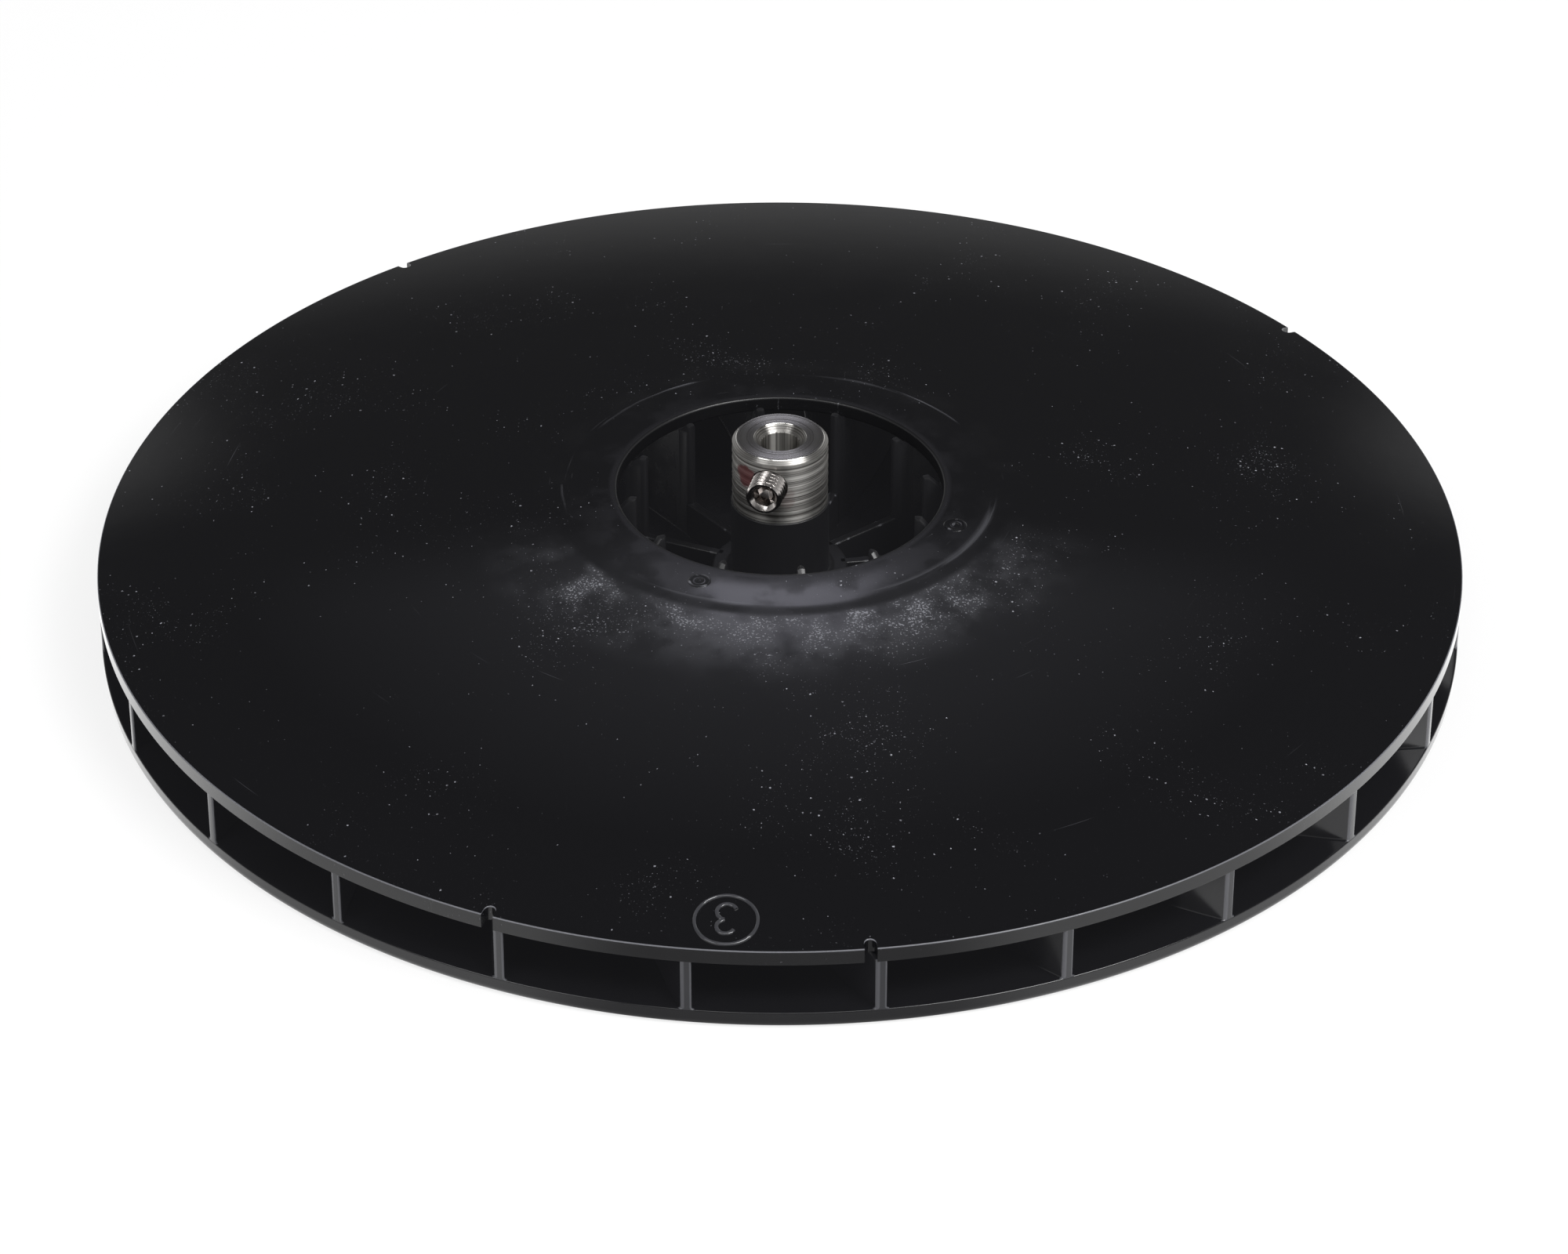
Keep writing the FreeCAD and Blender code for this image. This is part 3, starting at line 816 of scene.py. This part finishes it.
def tap_hole(piece):
    """Bore the tapped hole, with a small lead at its mouth, and keep the bored mesh."""
    rows = np.array([(0.5, tapped_radius), (7.15, tapped_radius), (7.7, tapped_radius + 0.15),
                     (10.0, tapped_radius + 0.6)])
    shape = (len(rows), tap_steps)
    turn = np.broadcast_to(np.arange(tap_steps) / tap_steps * 2 * math.pi, shape)
    grid = across_screw(np.broadcast_to(rows[:, :1], shape), np.broadcast_to(rows[:, 1:], shape), turn)
    drill = make_piece("tap_drill", [(grid, False, 0.0)], piece.data.materials[0])
    cut = piece.modifiers.new("tapped_hole", "BOOLEAN")
    cut.operation = "DIFFERENCE"
    cut.solver = "EXACT"
    cut.object = drill
    bpy.context.view_layer.update()
    graph = bpy.context.evaluated_depsgraph_get()
    bored = bpy.data.meshes.new_from_object(piece.evaluated_get(graph))
    piece.modifiers.clear()
    piece.data = bored
    bpy.data.objects.remove(drill)
    bored.set_sharp_from_angle(angle=sharp_edge)


bushing_points = revolved(bushing_profile, full_turn[::3])
bushing = make_piece("turned_bushing", [(bushing_points, True, 0.0)], turned_steel)
tap_hole(bushing)
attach(bushing, "root")
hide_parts("hub_bushing")

# The set screw is a short headless screw of bright steel with a hexagon socket, backed out of the bore.
# Its thread is a helix of its real pitch, cut off by a chamfer at each end.
screw_start = bore_radius + 0.3
screw_length = 7.94
thread_major = 2.98
thread_minor = 2.5
thread_pitch = 25.4 / 28
screw_chamfer = 0.25
socket_flats = 3.175
socket_depth = 2.8
socket_mouth = 2.35
screw_turn = math.radians(12)
screw_steps = 96

# Plated alloy steel, bright and smooth from thread rolling, with faint cloudy dulling.
screw_cloud_size = 1.2
screw_steel = bpy.data.materials.new("bright_screw_steel")
screw_steel.use_nodes = True
screw_shader = screw_steel.node_tree.nodes["Principled BSDF"]
screw_shader.inputs["Base Color"].default_value = hex_colour("#B7B2AF")
screw_shader.inputs["Metallic"].default_value = 1.0
screw_place = add_node(screw_steel.node_tree, "ShaderNodeTexCoord").outputs["Object"]
screw_cloud = add_node(screw_steel.node_tree, "ShaderNodeTexNoise", {
    "Vector": screw_place, "Scale": 1 / (screw_cloud_size * MM)})
screw_cloud = add_node(screw_steel.node_tree, "ShaderNodeMapRange", {
    "Value": screw_cloud, "From Min": 0.3, "From Max": 0.7, "To Min": 0.16, "To Max": 0.28})
screw_steel.node_tree.links.new(screw_cloud.outputs[0], screw_shader.inputs["Roughness"])


def screw_grid():
    """Rows along the screw: thread, front face, hexagon socket, and the point at the other end.

    The thread's radius is a rounded triangle wave of length along the screw less angle, in turns. The
    socket's radius is the hexagon's: half its flats over the cosine of the angle off the nearest flat.
    """
    around = np.arange(screw_steps) / screw_steps * 2 * math.pi
    along = np.linspace(0, screw_length, 141)[:, None]
    wave = np.abs(((along / thread_pitch - around / (2 * math.pi)) % 1) * 2 - 1)
    wave = np.clip(wave * 1.25 - 0.12, 0, 1)
    radius = thread_minor + (thread_major - thread_minor) * wave
    radius = np.minimum(radius, thread_major - screw_chamfer + np.minimum(along, screw_length - along))
    off_flat = (around + math.pi / 6) % (math.pi / 3) - math.pi / 6
    hexagon = socket_flats / 2 / np.cos(off_flat)
    plain = np.ones(screw_steps)
    face = screw_length
    rows = [(plain * 0.02, 0.8), (plain * 1.3, 0.05)]
    rows += list(zip(radius, along[:, 0]))
    rows += [
        (plain * (thread_major - screw_chamfer - 0.06), face + 0.02),
        (plain * (socket_mouth + 0.05), face + 0.02),
        (np.maximum(hexagon, socket_mouth), face),
        (hexagon, face - socket_mouth + hexagon),
        (hexagon, face - 0.5),
        (hexagon, face - socket_depth + 0.05),
        (hexagon * 0.97, face - socket_depth),
        (plain * 0.02, face - socket_depth - 0.6),
    ]
    radius = np.stack([row[0] for row in rows])
    along = np.stack([row[1] * plain for row in rows])
    return across_screw(screw_start + along, radius, np.broadcast_to(around + screw_turn, radius.shape))


set_screw = make_piece("socket_set_screw", [(screw_grid(), False, 0.0)], screw_steel)
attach(set_screw, "root")
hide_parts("set_screw")

# The studio is a white table in a dim room. A small soft box behind the wheel draws the highlight on its
# land, and three large ones light it from the right, from high in front and from the left. The table lies
# a hair under the wheel's foot, so that the two faces never share a plane.
floor_reach = 6.0
floor_drop = 0.05 * MM
table_glow_share = 0.80
floor_mesh = bpy.data.meshes.new("studio_floor")
corner_signs = ((-1, -1), (1, -1), (1, 1), (-1, 1))
floor_corners = [(x * floor_reach, y * floor_reach, -floor_drop) for x, y in corner_signs]
floor_mesh.from_pydata(floor_corners, [], [(0, 1, 2, 3)])
floor = bpy.data.objects.new("studio_floor", floor_mesh)
bpy.context.scene.collection.objects.link(floor)
table_white = bpy.data.materials.new("white_table")
table_white.use_nodes = True
table_tree = table_white.node_tree
table_shader = table_tree.nodes["Principled BSDF"]
table_shader.inputs["Base Color"].default_value = hex_colour("#F4F4F4")
table_shader.inputs["Roughness"].default_value = 0.9
table_glow = add_node(table_tree, "ShaderNodeEmission", {"Strength": 1.0})
table_path = add_node(table_tree, "ShaderNodeLightPath")

# In reflections the table glows by the sine of the angle off the camera's line: dim straight ahead and
# behind, full from 25 degrees off it, and twice as bright from 67 degrees.
table_place = add_node(table_tree, "ShaderNodeTexCoord").outputs["Object"]
table_reach = add_node(table_tree, "ShaderNodeVectorMath", {0: table_place}, operation="NORMALIZE")
table_side = add_node(table_tree, "ShaderNodeSeparateXYZ", {"Vector": table_reach})
table_side = add_node(table_tree, "ShaderNodeMath", {0: table_side}, operation="ABSOLUTE")
near_side = add_node(table_tree, "ShaderNodeMapRange", {
    "Value": table_side, "From Min": 0.20, "From Max": 0.42, "To Min": 0.22, "To Max": 1.0},
    interpolation_type="SMOOTHSTEP")
far_side = add_node(table_tree, "ShaderNodeMapRange", {
    "Value": table_side, "From Min": 0.70, "From Max": 0.92}, interpolation_type="SMOOTHSTEP")
table_shine = add_node(table_tree, "ShaderNodeMath", {0: near_side, 1: far_side}, operation="ADD")
table_shine = add_node(table_tree, "ShaderNodeMix", {
    "Factor": table_path.outputs["Is Glossy Ray"], 2: 1.0, 3: table_shine})
table_tree.links.new(table_shine.outputs[0], table_glow.inputs["Strength"])
seen = add_node(table_tree, "ShaderNodeMath", {
    0: table_path.outputs["Is Camera Ray"], 1: table_path.outputs["Is Glossy Ray"]}, operation="MAXIMUM")
seen = add_node(table_tree, "ShaderNodeMath", {
    0: seen, 1: table_path.outputs["Is Transmission Ray"]}, operation="MAXIMUM")
seen = add_node(table_tree, "ShaderNodeMath", {0: seen, 1: table_glow_share}, operation="MULTIPLY")
table_mix = add_node(table_tree, "ShaderNodeMixShader", {0: seen, 1: table_shader, 2: table_glow})
table_tree.links.new(table_mix.outputs[0], table_tree.nodes["Material Output"].inputs["Surface"])
floor_mesh.materials.append(table_white)

# The room fades from a pale horizon to dim at 17 degrees up. Pale walls stand at the left and right and end
# between 20 and 28 degrees up. Matt faces are lit by one even fill instead.
horizon_glow = 0.30
ceiling_glow = 0.045
wall_glow = 0.32
wall_begin = 0.24
wall_full = 0.32
even_fill = 0.42
world = bpy.data.worlds.new("dim_room")
bpy.context.scene.world = world
world.use_nodes = True
world_tree = world.node_tree
direction = add_node(world_tree, "ShaderNodeTexCoord").outputs["Generated"]
rise = add_node(world_tree, "ShaderNodeSeparateXYZ", {"Vector": direction}).outputs["Z"]
room = add_node(world_tree, "ShaderNodeMapRange", {
    "Value": rise, "From Min": math.sin(math.radians(1)), "From Max": math.sin(math.radians(17)),
    "To Min": horizon_glow, "To Max": ceiling_glow}, interpolation_type="SMOOTHSTEP")
aside = add_node(world_tree, "ShaderNodeSeparateXYZ", {"Vector": direction})
aside = add_node(world_tree, "ShaderNodeMath", {0: aside}, operation="ABSOLUTE")
aside = add_node(world_tree, "ShaderNodeMapRange", {
    "Value": aside, "From Min": wall_begin, "From Max": wall_full, "To Max": wall_glow},
    interpolation_type="SMOOTHSTEP")
under = add_node(world_tree, "ShaderNodeMapRange", {
    "Value": rise, "From Min": math.sin(math.radians(20)), "From Max": math.sin(math.radians(28)),
    "To Min": 1.0, "To Max": 0.0}, interpolation_type="SMOOTHSTEP")
room = add_node(world_tree, "ShaderNodeMath", {0: aside, 1: under, 2: room}, operation="MULTIPLY_ADD")
world_path = add_node(world_tree, "ShaderNodeLightPath")
fill = add_node(world_tree, "ShaderNodeMix", {
    "Factor": world_path.outputs["Is Diffuse Ray"], 2: room, 3: even_fill})
world_tree.links.new(fill.outputs[0], world_tree.nodes["Background"].inputs["Strength"])
world_tree.nodes["Background"].inputs["Color"].default_value = (1, 1, 1, 1)


def soft_box(name, azimuth, elevation, distance, width, height, power, colour="#FFFFFF"):
    """A rectangular area light that faces the wheel; azimuth counts from the camera's side towards +X."""
    data = bpy.data.lights.new(name, "AREA")
    data.shape = "RECTANGLE"
    data.size = width
    data.size_y = height
    data.energy = power
    data.color = hex_colour(colour)[:3]
    light = bpy.data.objects.new(name, data)
    a, e = math.radians(azimuth), math.radians(elevation)
    place = Vector((math.sin(a) * math.cos(e), -math.cos(a) * math.cos(e), math.sin(e))) * distance
    light.matrix_world = Matrix.Translation(place) @ (-place).to_track_quat("-Z", "Y").to_matrix().to_4x4()
    bpy.context.scene.collection.objects.link(light)


soft_box("strip_behind", azimuth=180, elevation=40.5, distance=2.0, width=0.19, height=0.24, power=0.255,
         colour="#EFEEFF")
soft_box("key_right", azimuth=50, elevation=50, distance=1.6, width=0.8, height=0.6, power=20.0)
soft_box("key_middle", azimuth=4, elevation=60, distance=1.6, width=0.9, height=0.4, power=5.0)
soft_box("key_left", azimuth=-48, elevation=46, distance=1.8, width=0.7, height=0.5, power=6.0)

bpy.context.scene.view_settings.view_transform = "Standard"
